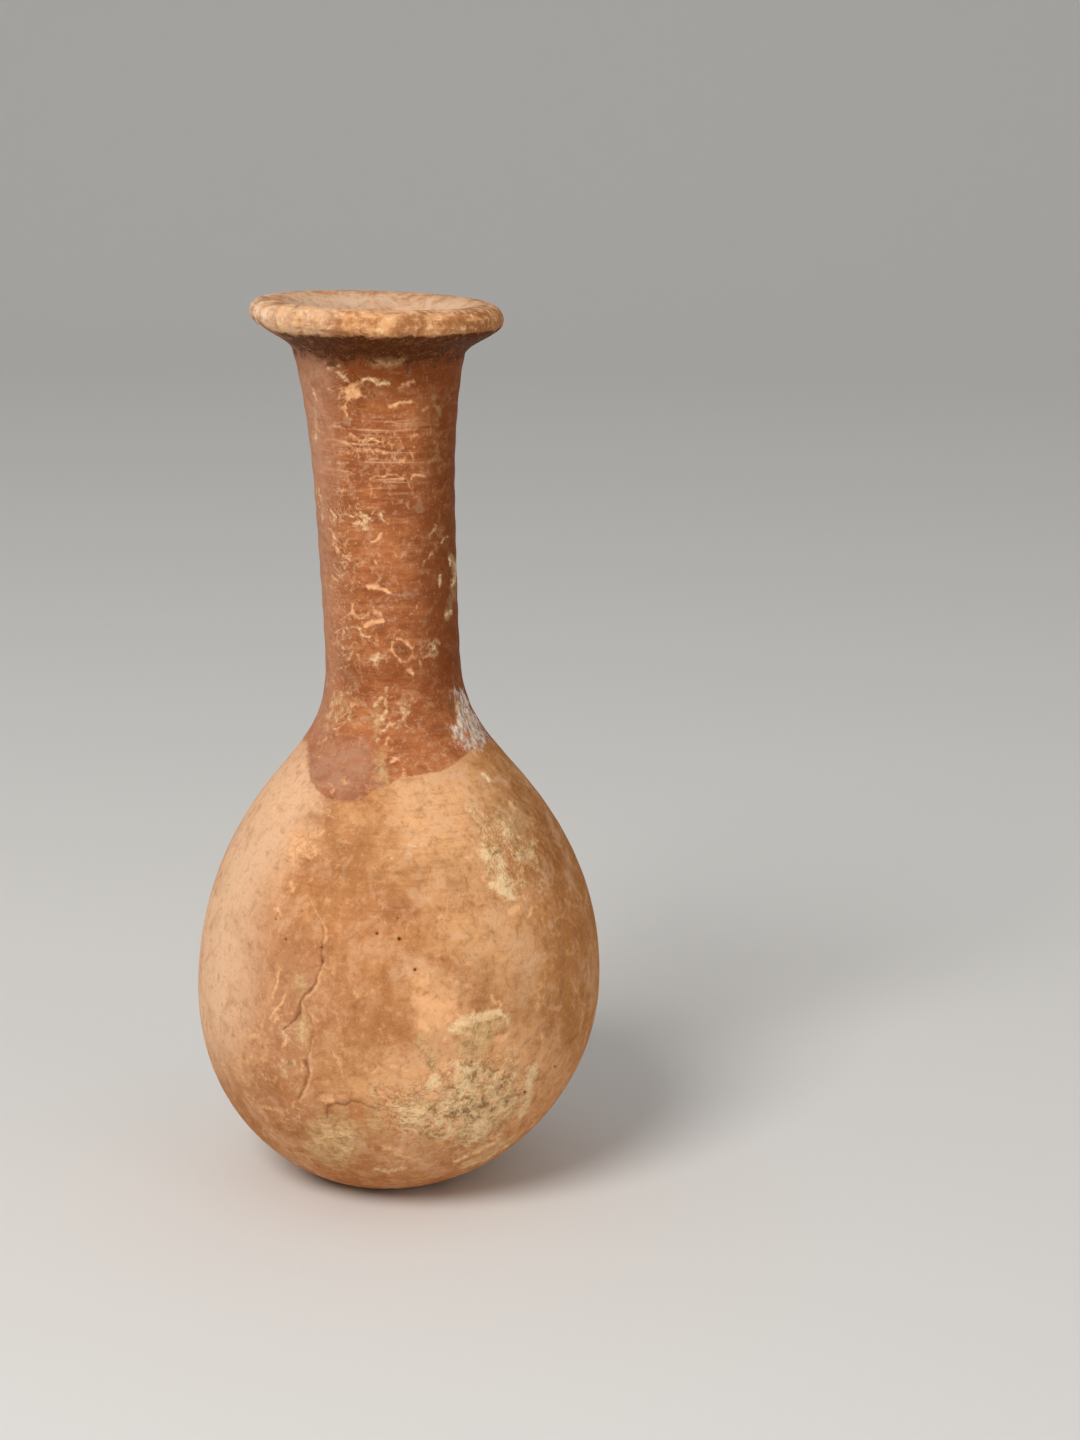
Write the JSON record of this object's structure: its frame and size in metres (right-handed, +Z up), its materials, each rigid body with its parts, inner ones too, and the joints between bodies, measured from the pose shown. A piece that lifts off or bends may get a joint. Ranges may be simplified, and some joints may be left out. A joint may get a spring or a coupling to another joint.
{
  "type": "terracotta unguentarium",
  "caption": "Small thrown clay oil bottle with a pear-shaped body, slim flaring neck and broad rolled rim, empty and open at the mouth.",
  "frame": {"origin": "centre of the flat foot, on the surface that the bottle stands on", "axes": "+Z up through the mouth, -Y to the front, +X to the side that the body leans to"},
  "size_m": [0.0598, 0.0598, 0.1305],
  "materials": {
    "terracotta": "matt, unglazed, partly covered in red-brown slip and chalky burial deposits"
  },
  "bodies": {
    "root": {"unguentarium": "terracotta"}
  },
  "joints": []
}
